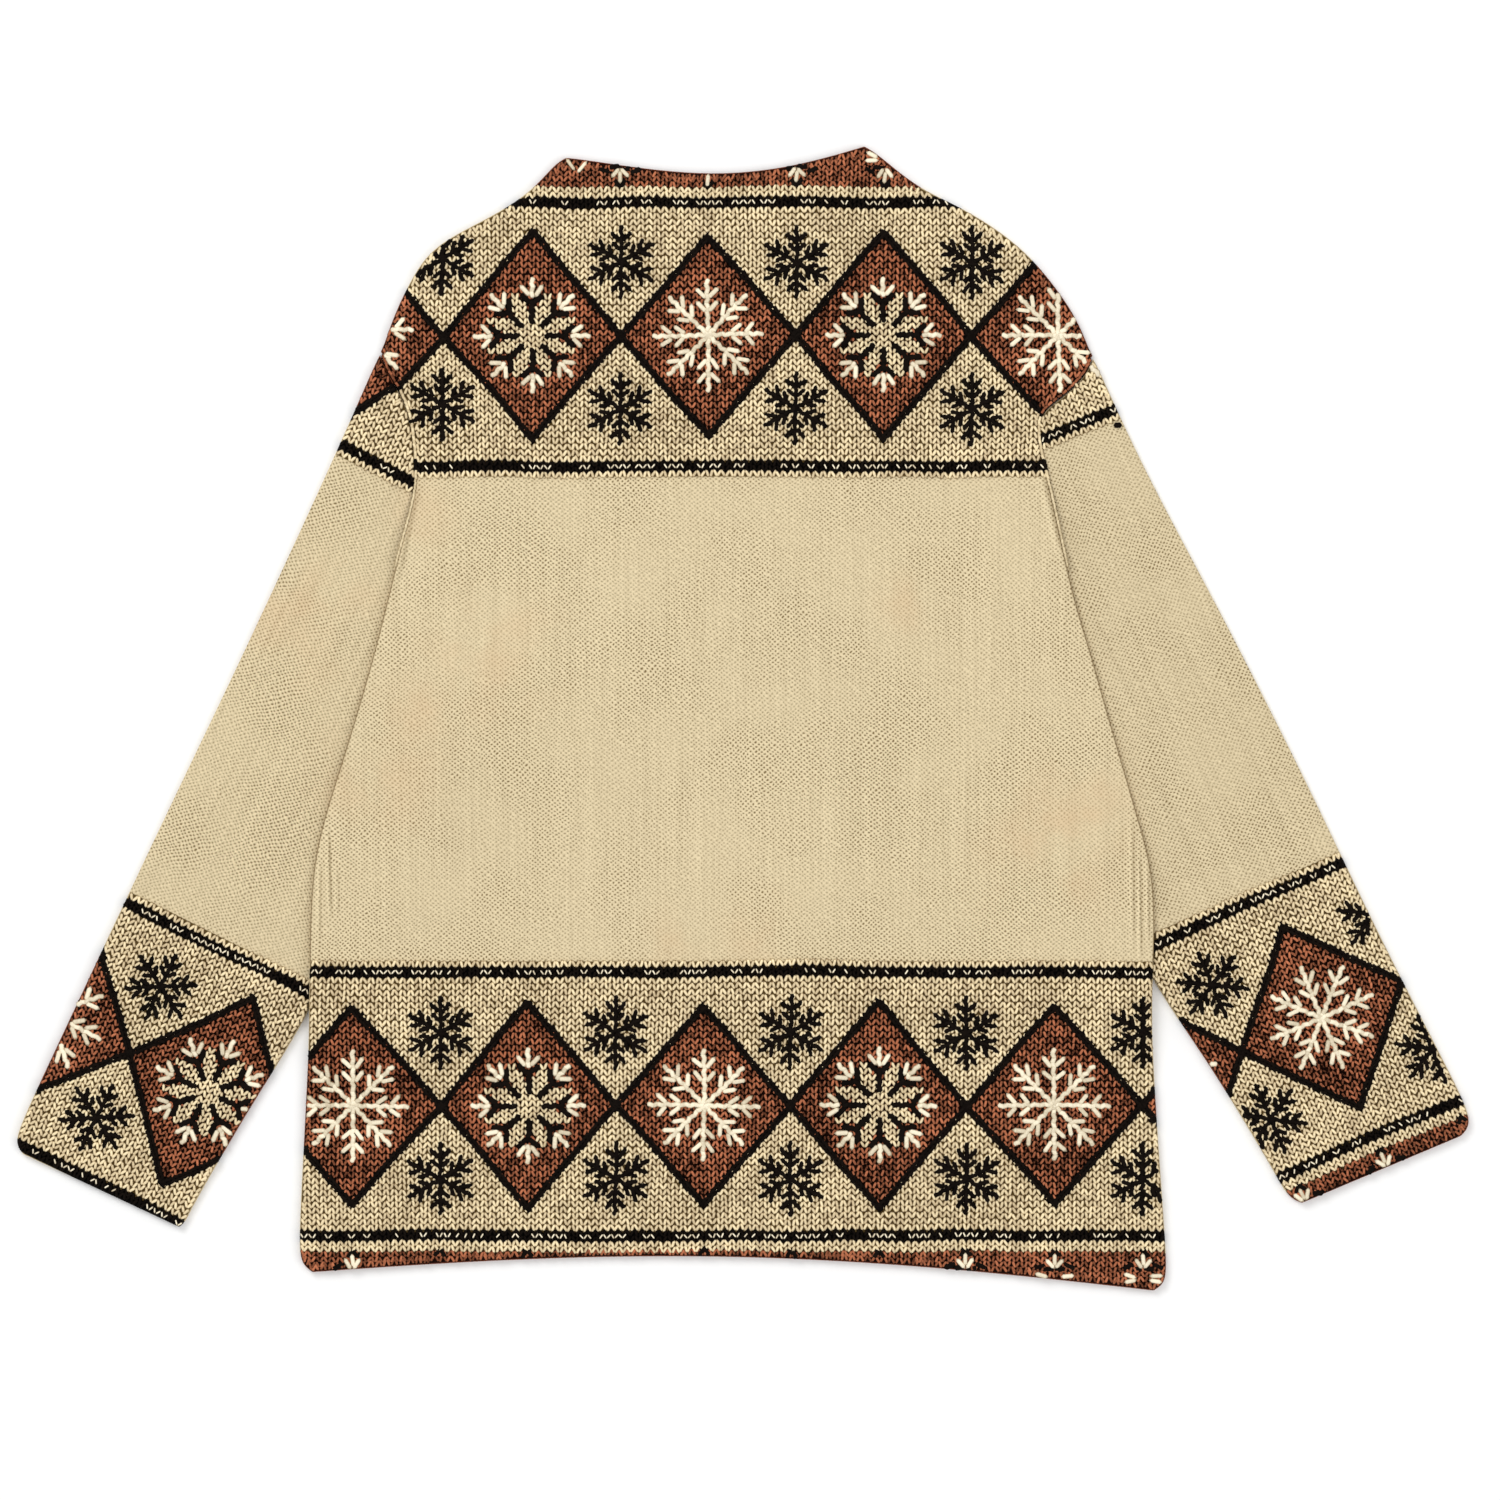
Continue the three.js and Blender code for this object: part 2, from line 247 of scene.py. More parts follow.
class Maths:
    """A number in a node tree that ordinary operators work on."""

    def __init__(self, tree, socket):
        self.tree, self.socket = tree, socket

    def math(self, operation, *others):
        return self.tree.node("ShaderNodeMath", {"operation": operation}, self, *others)

    def __add__(self, other):
        return self.math("ADD", other)

    def __sub__(self, other):
        return self.math("SUBTRACT", other)

    def __mul__(self, other):
        return self.math("MULTIPLY", other)

    def __rsub__(self, other):
        return self * -1 + other

    __radd__, __rmul__ = __add__, __mul__


class Tree:
    """The node tree of one material."""

    def __init__(self, name, roughness=0.9):
        self.material = bpy.data.materials.new(name)
        self.material.use_nodes = True
        self.tree = self.material.node_tree
        self.shader = self.tree.nodes["Principled BSDF"]
        self.shader.inputs["Roughness"].default_value = roughness
        self.shader.inputs["Specular IOR Level"].default_value = 0.06

    def node(self, kind, settings=None, *values, output=0, **named):
        node = self.tree.nodes.new(kind)
        for key, value in (settings or {}).items():
            setattr(node, key, value)
        for key, value in [*enumerate(values), *named.items()]:
            self.feed(value, node.inputs[key])
        return Maths(self, node.outputs[output])

    def feed(self, value, socket):
        if isinstance(value, Maths):
            self.tree.links.new(value.socket, socket)
        else:
            socket.default_value = value

    def mix_colour(self, share, low, high):
        node = self.tree.nodes.new("ShaderNodeMix")
        node.data_type = "RGBA"
        for value, key in ((share, 0), (low, 6), (high, 7)):
            self.feed(value, node.inputs[key])
        return Maths(self, node.outputs[2])

    def ramp(self, value, start, end):
        """0 below start, 1 above end, smooth between them."""
        node = self.tree.nodes.new("ShaderNodeMapRange")
        node.interpolation_type = "SMOOTHSTEP"
        for item, key in ((value, 0), (start, 1), (end, 2)):
            self.feed(item, node.inputs[key])
        return Maths(self, node.outputs[0])

    def noise(self, place, scale, detail=2.0):
        return self.node("ShaderNodeTexNoise", None, Vector=place, Scale=scale, Detail=detail)

    def distance(self, place, axis, origin):
        """How far a place is from an origin along an axis, in millimetres."""
        dot = self.node("ShaderNodeVectorMath", {"operation": "DOT_PRODUCT"}, place, (*axis, 0),
                        output="Value")
        return (dot - origin.dot(axis) * MM) * (1 / MM)

    def bump(self, height, distance, strength=1.0):
        normal = self.node("ShaderNodeBump", None, Strength=strength, Distance=distance, Height=height)
        self.feed(normal, self.shader.inputs["Normal"])

    def colour(self, value):
        self.feed(value, self.shader.inputs["Base Color"])


def srgb(red, green, blue):
    """A screen colour, 0 to 255, as the linear colour that a shader takes."""
    def linear(value):
        share = value / 255
        return share / 12.92 if share <= 0.04045 else ((share + 0.055) / 1.055) ** 2.4
    return (linear(red), linear(green), linear(blue), 1)


print("helpers ready")

# %% [markdown]
# ## Where the bands lie
# The pattern was worked flat on each piece, so every band is a chart in its own
# coordinates: `across` along the row of diamonds and `up` at right angles to it, towards
# the neck. A band has its row of diamonds in the middle, a black stripe above and below,
# and a rust border beyond the stripe where the cloth ends. On the sleeves the bands turn
# with the sleeve. All sizes here are in millimetres.

# %% Band places and sizes
DIAMOND_PERIOD = 105.2
DIAMOND_RISE = (59.0, 62.0)  # half the height of the two kinds of diamond
STRIPE_FROM = (76.9, 75.0)  # where the stripe starts, above and below the diamonds
STRIPE_ROWS = 2
FINE_ROW = 3.15  # the rows of the stripe and beyond it are denser
BORDER_FROM = 12.6  # the rust border starts this far from the stripe's start
PLAIN_FROM = 9.45  # where the band ends at the plain cloth instead, it ends here

# turn is in degrees. kind says which kind of diamond is in the middle. plain says on which
# side of the band the plain cloth lies: above it, below it or on neither side. The left
# sleeve's cap has one rust corner instead of diamonds, and its edge runs between two places
# on the garment.
BANDS = {
    "yoke": {"panel": "back", "x": -21.3, "y": 229.5, "turn": 0, "kind": 0, "plain": -1,
             "diamonds": True, "over": ["sleeve_left", "sleeve_right"]},
    "hem": {"panel": "back", "x": -24.0, "y": -232.0, "turn": 0, "kind": 0, "plain": 1,
            "diamonds": True},
    "cap_left": {"panel": "sleeve_left", "x": -211.2, "y": 236.1, "turn": -26.4, "kind": 0,
                 "plain": -1, "diamonds": False, "edge": [(-240.0, 178.4), (-203.0, 202.6)]},
    "cap_right": {"panel": "sleeve_right", "x": 170.8, "y": 248.7, "turn": 21.5, "kind": 0,
                  "plain": -1, "diamonds": False},
    "cuff_left": {"panel": "sleeve_left", "x": -321.3, "y": -223.5, "turn": -26.4, "kind": 1,
                  "plain": 1, "diamonds": True},
    "cuff_right": {"panel": "sleeve_right", "x": 346.5, "y": -179.1, "turn": 23.5, "kind": 0,
                   "plain": 1, "diamonds": True},
}
for name, band in BANDS.items():
    angle = math.radians(band["turn"])
    band["axis"] = Vector((math.cos(angle), math.sin(angle)))
    band["up"] = Vector((-math.sin(angle), math.cos(angle)))
    band["centre"] = Vector((band["x"], band["y"]))
    band["low"] = -STRIPE_FROM[1] - PLAIN_FROM if band["plain"] < 0 else -125
    band["high"] = STRIPE_FROM[0] + PLAIN_FROM if band["plain"] > 0 else 125


def to_garment(band, across, up):
    """The place on the garment, in millimetres, of a place in a band."""
    return band["centre"] + band["axis"] * across + band["up"] * up


def to_band(band, point):
    """The place in a band of a place on the garment."""
    away = Vector(point) - band["centre"]
    return Vector((away.dot(band["axis"]), away.dot(band["up"])))


def past_stripe(up):
    """How far a place is beyond the start of the stripe on its side of the diamonds."""
    return up - STRIPE_FROM[0] if up > 0 else -up - STRIPE_FROM[1]


print("bands:", ", ".join(BANDS))

# %% [markdown]
# ## The cloth shells
# Each frame solid is coarse, so a copy of it is merged, its triangles are joined into
# quads and it is subdivided, which rounds its edges as a folded knit rounds. At the tips of
# the shoulders the corners are pinned first, so that back and sleeve stay beside each
# other. The shell keeps the number `rim`, 0 on flat cloth and 1 where the cloth turns down
# at its edge. It also
# keeps a UV map in millimetres along the rows and columns of the knit, turned with the
# sleeve on a sleeve.

# %% Shells from the frame
PANELS = {
    "back": {"turn": 0.0, "levels": 3, "tone": 0.69, "flat": (0.520, 0.686), "area": 0.2917,
             "on": ["front_left", "front_right"]},
    "front_left": {"turn": 0.0, "levels": 2, "tone": 0.69, "flat": (0.260, 0.668), "area": 0.1373,
                   "on": ["sleeve_left"]},
    "front_right": {"turn": 0.0, "levels": 2, "tone": 0.69, "flat": (0.263, 0.686), "area": 0.1406,
                    "on": ["sleeve_right"]},
    "sleeve_left": {"turn": -26.4, "levels": 2, "tone": 0.65, "flat": (0.290, 0.525),
                    "area": 0.1078, "on": []},
    "sleeve_right": {"turn": 23.5, "levels": 2, "tone": 0.645, "flat": (0.290, 0.510),
                     "area": 0.1121, "on": []},
}


CORNER_TURN = 0.4  # radians: the outline turns at least this much at a corner
SHOULDER_TIPS = [Vector((-217.0, 221.6)), Vector((209.0, 215.0))]
TIP_REACH = 14.0


def pin_corners(shell_mesh):
    """Crease the points near a shoulder's tip where the outline turns sharply."""
    crease = shell_mesh.verts.layers.float.new("crease_vert")
    for vert in shell_mesh.verts:
        if all((vert.co.xy / MM - tip).length > TIP_REACH for tip in SHOULDER_TIPS):
            continue
        ways = []
        for edge in vert.link_edges:
            way = edge.other_vert(vert).co - vert.co
            if edge.is_manifold and edge.calc_face_angle() > 1.0 and abs(way.z) < 0.3 * way.length:
                ways.append(way.xy)
        if len(ways) == 2 and math.pi - ways[0].angle(ways[1]) > CORNER_TURN:
            vert[crease] = 1.0


def cloth_shell(node, turn, levels):
    shell_mesh = bmesh.new()
    shell_mesh.from_mesh(frame["nodes"][node].data)
    bmesh.ops.remove_doubles(shell_mesh, verts=shell_mesh.verts, dist=0.01 * MM)
    bmesh.ops.join_triangles(shell_mesh, faces=shell_mesh.faces, angle_face_threshold=0.6,
                             angle_shape_threshold=3.1)
    pin_corners(shell_mesh)
    mesh = bpy.data.meshes.new(node + "_knit")
    shell_mesh.to_mesh(mesh)
    shell_mesh.free()
    shell = bpy.data.objects.new(node + "_knit", mesh)
    scene.collection.objects.link(shell)
    smooth = shell.modifiers.new("smooth", "SUBSURF")
    smooth.levels = smooth.render_levels = levels
    finished = bpy.data.meshes.new_from_object(shell.evaluated_get(bpy.context.evaluated_depsgraph_get()))
    shell.modifiers.clear()
    shell.data = finished
    finished.polygons.foreach_set("use_smooth", [True] * len(finished.polygons))
    # rim: 1 where the cloth turns down at its edge; the back paints a shade line with it, and the bands drop their
    # painted gap shadow there
    rim = finished.attributes.new("rim", "FLOAT", "POINT")
    rim.data.foreach_set("value", [1 - max(0.0, vertex.normal.z) for vertex in finished.vertices])
    angle = math.radians(turn)
    knit = finished.uv_layers.new(name="knit")
    for loop in finished.loops:
        x, y, _ = finished.vertices[loop.vertex_index].co / MM
        knit.data[loop.index].uv = (x * math.cos(angle) + y * math.sin(angle),
                                    y * math.cos(angle) - x * math.sin(angle))
    return shell


shells = {node: cloth_shell(node, panel["turn"], panel["levels"]) for node, panel in PANELS.items()}
for node, shell in shells.items():
    print(shell.name, len(shell.data.polygons), "faces")

# %% [markdown]
# ## Creases in the back
# Where the body's side edges lie over the sleeves, small upright pleats have formed, and a
# softer fold follows each armhole. Each row of the table is one ridge from one end to the
# other, with its own width and height. Ridges only rise, so the back stays clear of the
# fronts under it, and each one fades out towards its ends.

# %% Ridges
RIDGES = [
    {"x0": -249.5, "y0": -62, "x1": -248.0, "y1": -124, "width": 1.8, "height": 1.3},
    {"x0": -254.2, "y0": -80, "x1": -254.6, "y1": -138, "width": 1.5, "height": 0.9},
    {"x0": -244.0, "y0": -86, "x1": -243.4, "y1": -121, "width": 1.6, "height": 0.7},
    {"x0": 231.8, "y0": -52, "x1": 232.8, "y1": -146, "width": 1.9, "height": 0.9},
    {"x0": 236.4, "y0": -70, "x1": 237.3, "y1": -152, "width": 1.5, "height": 1.2},
    {"x0": 241.3, "y0": -82, "x1": 242.0, "y1": -139, "width": 1.5, "height": 0.9},
    {"x0": -195.0, "y0": 147, "x1": -210.5, "y1": 76, "width": 3.2, "height": 1.0},
    {"x0": 176.0, "y0": 152, "x1": 191.0, "y1": 90, "width": 3.2, "height": 0.9},
    {"x0": -236.0, "y0": 8, "x1": -246.0, "y1": -40, "width": 3.4, "height": 0.7},
]


def ridge_height(x, y, ridge):
    start = Vector((ridge["x0"], ridge["y0"]))
    way = Vector((ridge["x1"], ridge["y1"])) - start
    along = (Vector((x, y)) - start).dot(way) / way.length_squared
    if not 0 < along < 1:
        return 0.0
    away = (Vector((x, y)) - start - way * along).length / ridge["width"]
    return ridge["height"] * math.exp(-away * away) * math.sin(math.pi * along) ** 0.6


for vertex in shells["back"].data.vertices:
    x, y = vertex.co.x / MM, vertex.co.y / MM
    vertex.co.z += sum(ridge_height(x, y, ridge) for ridge in RIDGES) * MM
print("ridges:", len(RIDGES))

# %% [markdown]
# ## The plain knit
# The plain cloth is worked much finer than the bands, about 3.2 by 2.7 mm a stitch, so its
# stitches are made in the material. Seen from above, such a knit is a lattice of small
# holes, each row half a stitch off the next; painted shade darkens the holes and a painted
# highlight lightens the wool between them. The painted shade in the holes is stronger in
# some places than in others, the columns differ a little in brightness, and a few warm
# patches are mixed in at listed places. Along each ridge of the back the wool is painted
# lighter on the side towards the lamp and darker on the other, and a painted shade line
# runs where the back's edge turns down on to a sleeve.

# %% Plain knit material
STITCH_WIDTH_FINE = 3.2
STITCH_HEIGHT_FINE = 2.7
PLAIN_LIGHT = srgb(247, 229, 189)
PLAIN_DARK = srgb(122, 102, 66)
PLAIN_WARM = srgb(216, 182, 142)
# painted shade along the back's turned-down edge, where it lies on a sleeve
OVERLAP_PAINTED_SHADE = srgb(112, 88, 54)  # the dark line where the body's edge lies on a sleeve
# warm patches mixed into the plain cloth's colour: middle and size in millimetres
WARM_PATCHES = [
    {"x": -151, "y": 40, "size": 62}, {"x": -189, "y": 10, "size": 46},
    {"x": -222, "y": -33, "size": 60}, {"x": 101, "y": 72, "size": 34},
    {"x": 182, "y": -86, "size": 66}, {"x": 202, "y": -49, "size": 56},
    {"x": 8, "y": -126, "size": 34}, {"x": -39, "y": -130, "size": 30},
    {"x": -196, "y": 120, "size": 34}, {"x": -262, "y": 66, "size": 70},
]


def ridge_light(tree, place):
    """The painted light and shade of the ridges: lighter towards the lamp, darker on the far side."""
    light = 0.0
    for ridge in RIDGES:
        start, end = Vector((ridge["x0"], ridge["y0"])), Vector((ridge["x1"], ridge["y1"]))
        length, way = (end - start).length, (end - start).normalized()
        along = tree.distance(place, way, start)
        off = tree.distance(place, Vector((-way.y, way.x)), start) * (1 / ridge["width"])
        shown = tree.ramp(along, 0.0, 0.3 * length) * (1 - tree.ramp(along, 0.7 * length, length))
        lit = 1 - tree.ramp((off + 0.4).math("ABSOLUTE"), 0.0, 0.9)
        dark = 1 - tree.ramp((off - 0.75).math("ABSOLUTE"), 0.0, 0.75)
        light = shown * (lit * 0.1 - dark * 0.27) * ridge["height"] + light
    return light


def plain_knit(name, base, with_ridges):
    tree = Tree(name, roughness=0.95)
    place = tree.node("ShaderNodeTexCoord", None, output="Object")
    uv = tree.node("ShaderNodeUVMap", {"uv_map": "knit"})
    parts = tree.tree.nodes.new("ShaderNodeSeparateXYZ")
    tree.feed(uv, parts.inputs[0])
    across, up = Maths(tree, parts.outputs[0]), Maths(tree, parts.outputs[1])
    drift = tree.noise(place, 45.0) - 0.5
    shake = tree.noise(place, 260.0) - 0.5
    column = (across + drift * 4.0 + shake * 2.3) * (2 * math.pi / STITCH_WIDTH_FINE)
    row = (up - drift * 4.2 + shake * 2.4) * (2 * math.pi / STITCH_HEIGHT_FINE)
    lattice = column.math("COSINE") * row.math("COSINE")
    # holes: painted shade in the hollows between stitches; tops: painted highlight on the wool between them. Both also
    # shape the bump.
    holes = tree.ramp(lattice, 0.1, 1.0)
    tops = tree.ramp(lattice * -1, 0.0, 1.0)
    # how strongly the holes are painted dark, varying over the cloth
    hole_shade = tree.ramp(tree.noise(place, 17.0, 3.0), 0.32, 0.7) * 0.7 + 0.45
    drawn_out = tree.node("ShaderNodeVectorMath", {"operation": "MULTIPLY"}, uv, (1.0, 0.02, 1.0),
                          output="Vector")
    column_tone = tree.noise(drawn_out, 0.42, 1.0) - 0.5
    fibre = tree.noise(place, 1100.0, 1.0) - 0.5
    mottle = tree.noise(place, 8.0, 3.0) - 0.5
    light = (base + column_tone * 0.2 + fibre * 0.42 + mottle * 0.08
             + tops * 0.12 - holes * hole_shade * 0.72)
    if with_ridges:
        light = light + ridge_light(tree, place)
    colour = tree.mix_colour(light.math("MINIMUM", 1.0).math("MAXIMUM", 0.0), PLAIN_DARK, PLAIN_LIGHT)
    warm = 0.0
    for patch in WARM_PATCHES:
        distance = tree.node("ShaderNodeVectorMath", {"operation": "DISTANCE"}, place,
                             (patch["x"] * MM, patch["y"] * MM, 0), output="Value")
        warm = (1 - tree.ramp(distance, 0.0, patch["size"] * MM)) + warm
    patchy = tree.ramp(tree.noise(place, 24.0, 3.0), 0.36, 0.66)
    wool = tree.mix_colour((warm * patchy * 0.36).math("MINIMUM", 0.5), colour, PLAIN_WARM)
    rim = tree.node("ShaderNodeAttribute", {"attribute_name": "rim"}, output="Fac")
    # painted shade line where the back's edge turns down on to a sleeve
    if with_ridges:
        wool = tree.mix_colour(tree.ramp(rim, 0.03, 0.3) * 0.8, wool, OVERLAP_PAINTED_SHADE)
    tree.bump(tops - holes, 0.22 * MM, 0.9)
    return tree, place, rim, wool


# %% [markdown]
# ## The ground of the bands
# Under the laid stitches the shell shows only in the gaps, so it is painted a very dark
# shade of the yarn above it, a painted shadow between the legs. On the undersides of the
# sleeves and on the fronts, which nobody sees from above, no stitches are laid and the same
# chart is painted in the yarns' own shades, as it is along every rim.
# `chart_shares` builds the chart from the distance along and across the band.

# %% Band ground
# painted shadow between the laid legs, per yarn; the full shades below are the yarns' own colours
GAP_PAINTED_SHADE = {"cream": srgb(92, 73, 38), "rust": srgb(30, 10, 4), "black": srgb(9, 7, 6)}
FULL_SHADES = {"cream": srgb(201, 182, 143), "rust": srgb(124, 66, 42), "black": srgb(26, 21, 18)}


def chart_shares(tree, band, place):
    """Shares from 0 to 1: inside the band, in its rust parts, in its black parts."""
    across = tree.distance(place, band["axis"], band["centre"])
    up = tree.distance(place, band["up"], band["centre"])
    inside = tree.ramp(up, band["low"] - 0.4, band["low"] + 0.4) * (
        1 - tree.ramp(up, band["high"] - 0.4, band["high"] + 0.4))
    level = up.math("ABSOLUTE")
    stripe_middle = sum(STRIPE_FROM) / 2 + FINE_ROW
    black = 1 - tree.ramp((level - stripe_middle).math("ABSOLUTE"), 2.8, 3.4)
    rust = tree.ramp(level, stripe_middle + 9.2, stripe_middle + 10.0)
    if band["diamonds"]:
        sideways = (across * (2 / DIAMOND_PERIOD)).math("ABSOLUTE").math("PINGPONG", 1.0)
        rim = sideways + level * (2 / sum(DIAMOND_RISE))
        rust = rust.math("MAXIMUM", 1 - tree.ramp(rim, 0.99, 1.01))
        black = black.math("MAXIMUM", 1 - tree.ramp((rim - 1).math("ABSOLUTE"), 0.04, 0.055))
    if "edge" in band:
        start, end = (Vector(point) for point in band["edge"])
        way = (end - start).normalized()
        above = tree.distance(place, Vector((-way.y, way.x)), start)
        rust = rust.math("MAXIMUM", tree.ramp(above, -0.5, 0.5))
        black = black.math("MAXIMUM", 1 - tree.ramp(above.math("ABSOLUTE"), 2.0, 2.8))
    return inside, rust, black


def shell_material(panel):
    tree, place, rim, colour = plain_knit(panel + "_knit", PANELS[panel]["tone"],
                                         panel == "back")
    heights = tree.tree.nodes.new("ShaderNodeSeparateXYZ")
    tree.feed(place, heights.inputs[0])
    full = {"back": 0.0, "front_left": 1.0, "front_right": 1.0}.get(panel)
    if full is None:  # a sleeve: only its lower wall is painted in full
        full = 1 - tree.ramp(Maths(tree, heights.outputs[2]), 1.6 * MM, 2.0 * MM)
    full = tree.ramp(rim, 0.1, 0.4).math("MAXIMUM", full)
    for band in BANDS.values():
        if band["panel"] == panel or (panel.startswith("front") and band["panel"] == "back"):
            inside, rust, black = chart_shares(tree, band, place)
            # from painted gap shadow on top to the yarn's own colour on hidden walls and rims
            shades = {yarn: tree.mix_colour(full, GAP_PAINTED_SHADE[yarn], FULL_SHADES[yarn])
                      for yarn in GAP_PAINTED_SHADE}
            ground_colour = tree.mix_colour(rust, shades["cream"], shades["rust"])
            ground_colour = tree.mix_colour(black, ground_colour, shades["black"])
            colour = tree.mix_colour(inside, colour, ground_colour)
    tree.colour(colour)
    return tree.material


for node, shell in shells.items():
    shell.data.materials.clear()
    shell.data.materials.append(shell_material(node))
print("knit on", len(shells), "shells")

# %% [markdown]
# ## The chart
# `ground` says which yarn a stitch of a band is worked in. The diamonds and borders are
# rust, each stripe is two black rows, and the rest is cream, as are the eight petals of
# every second star. The yarn is black all along the rim of a diamond. The outlines and
# snowflakes are worked over the ground afterwards, so they are not in this chart.

# %% Ground chart
PETALS = 8
PETAL_LENGTH = 28.5
PETAL_HALF_WIDTH = 4.8
PETAL_CENTRE = 8.5
RIM_SHARE = 0.03  # half the width of a diamond's black rim, as a share of its size


def in_petals(side, up):
    radius = math.hypot(side, up)
    if radius < PETAL_CENTRE:
        return True
    step = 2 * math.pi / PETALS
    angle = math.atan2(side, up) % step - step / 2  # from the nearest petal's middle line
    along, off = radius * math.cos(angle), abs(radius * math.sin(angle))
    if along > PETAL_LENGTH:
        return False
    return off < PETAL_HALF_WIDTH * math.sin(math.pi * along / PETAL_LENGTH) ** 0.5


def above_edge(band, across, up):
    """How far a place is above the slanting edge of the band's rust corner."""
    start, end = (to_band(band, point) for point in band["edge"])
    way = (end - start).normalized()
    return Vector((-way.y, way.x)).dot(Vector((across, up)) - start)


def ground(band, across, up):
    past = past_stripe(up)
    if 0 < past < STRIPE_ROWS * FINE_ROW:
        return "black"
    if past > BORDER_FROM:
        return "rust"
    if "edge" in band and above_edge(band, across, up) > -1.6:
        return "rust" if above_edge(band, across, up) > 1.6 else "black"
    if not band["diamonds"] or past > 0:
        return "cream"
    index = round(across / DIAMOND_PERIOD)
    kind = (index + band["kind"]) % 2
    side = across - index * DIAMOND_PERIOD
    rim = abs(side) / (DIAMOND_PERIOD / 2) + abs(up) / DIAMOND_RISE[kind]
    if abs(rim - 1) < RIM_SHARE:
        return "black"
    if rim > 1 or (kind == 1 and in_petals(side, up)):
        return "cream"
    return "rust"


print("the middle stitch of the yoke is", ground(BANDS["yoke"], 0, 0))

# %% [markdown]
# ## Strokes worked over the ground
# Outlines, snowflakes and stars are worked over the ground in three ways. A short stroke is
# one long leaf of yarn. A long one inside a motif is a rope of leaves that lean to and fro.
# A diamond's outline is a chain, two leaves side by side. A motif is a short table of
# strokes for one arm, turned round its middle: black snowflakes have six arms, the cream
# stars eight. A row gives the two ends of a stroke, sideways and outwards, in millimetres.

# %% Motif tables
FLAKE_ARM = [
    {"from": (0, 0.5), "to": (0, 20.8)},
    {"from": (-0.6, 12.4), "to": (-6.0, 17.8)}, {"from": (0.6, 12.4), "to": (6.0, 17.8)},
    {"from": (-0.6, 7.2), "to": (-5.2, 11.6)}, {"from": (0.6, 7.2), "to": (5.2, 11.6)},
]
STAR_ARM = [
    {"from": (0, 0.5), "to": (0, 32.6)},
    {"from": (-0.9, 22.2), "to": (-6.6, 28.4)}, {"from": (0.9, 22.2), "to": (6.6, 28.4)},
    {"from": (-0.9, 14.2), "to": (-6.4, 20.4)}, {"from": (0.9, 14.2), "to": (6.4, 20.4)},
]
TRIDENT = [
    {"from": (0, 24.4), "to": (0, 33.8)},
    {"from": (-1.6, 24.0), "to": (-6.6, 30.4)}, {"from": (1.6, 24.0), "to": (6.6, 30.4)},
]
FORK = [
    {"from": (0, 9.0), "to": (0, 20.5)},
    {"from": (-0.6, 19.4), "to": (-6.6, 25.2)}, {"from": (0.6, 19.4), "to": (6.6, 25.2)},
]
TUFT = [
    {"from": (0, -1.4), "to": (0, -8.4)},
    {"from": (-0.6, 0.0), "to": (-4.8, -4.9)}, {"from": (0.6, 0.0), "to": (4.8, -4.9)},
    {"from": (-4.4, 5.6), "to": (-11.4, 4.4)}, {"from": (4.4, 5.6), "to": (11.4, 4.4)},
    {"from": (-4.4, 7.2), "to": (-10.6, 9.2)}, {"from": (4.4, 7.2), "to": (10.6, 9.2)},
]
TUFT_BACKING = [
    {"from": (-12.5, 0.6), "to": (-5.6, -2.4)}, {"from": (12.5, 0.6), "to": (5.6, -2.4)},
    {"from": (-3.4, -6.4), "to": (0, -11.0)}, {"from": (3.4, -6.4), "to": (0, -11.0)},
    {"from": (-7.0, 1.0), "to": (0, 0.6)}, {"from": (7.0, 1.0), "to": (0, 0.6)},
]
LEAF_UP_TO = 9.2  # a stroke up to this length is one leaf


def motif(arm, arms, middle, yarn, width, lift, turn=0.0):
    """All the strokes of a motif round its middle."""
    strokes = []
    for index in range(arms):
        angle = turn + 2 * math.pi * index / arms
        cos, sin = math.cos(angle), math.sin(angle)
        for stroke in arm:
            ends = [Vector((middle[0] + side * cos - out * sin, middle[1] + side * sin + out * cos))
                    for side, out in (stroke["from"], stroke["to"])]
            way = "leaf" if (ends[1] - ends[0]).length < LEAF_UP_TO else "rope"
            strokes.append({"ends": ends, "yarn": yarn, "way": way, "width": width, "lift": lift})
    return strokes


def star(kind, middle):
    """A cream star with its black shadow: open, or with petals and black forks."""
    if kind == 0:
        return (motif(STAR_ARM[1:], 8, middle, "black", 5.0, 0.1)
                + motif(STAR_ARM, 8, middle, "star", 3.5, 0.8))
    return (motif(TRIDENT[1:], 8, middle, "black", 4.8, 0.1)
            + motif(FORK, 8, middle, "black", 4.1, 0.75)
            + motif(TRIDENT, 8, middle, "star", 3.5, 0.9))


def outline(middle, kind):
    half, rise = DIAMOND_PERIOD / 2, DIAMOND_RISE[kind]
    corners = [Vector((middle - half, 0)), Vector((middle, rise)), Vector((middle + half, 0)),
               Vector((middle, -rise))]
    return [{"ends": ends, "yarn": "black", "way": "chain", "width": 2.6, "lift": 0.45}
            for ends in zip(corners, corners[1:] + corners[:1])]


# The cream leaves of a motif that the neck edge cuts off, near its left corner.
NECK_CORNER = [
    {"from": (-84.4, 106.0), "to": (-80.0, 99.2)}, {"from": (-81.0, 107.4), "to": (-78.6, 100.8)},
    {"from": (-72.4, 104.6), "to": (-78.2, 99.0)}, {"from": (-74.8, 106.2), "to": (-77.4, 101.2)},
]


# Near the left shoulder the cloth is pulled a little, so the motifs there are off their
# places by so much.
PULLED = {("yoke", -2): {"star": (1.0, 4.0), "flake": (-1.6, 2.6)}}


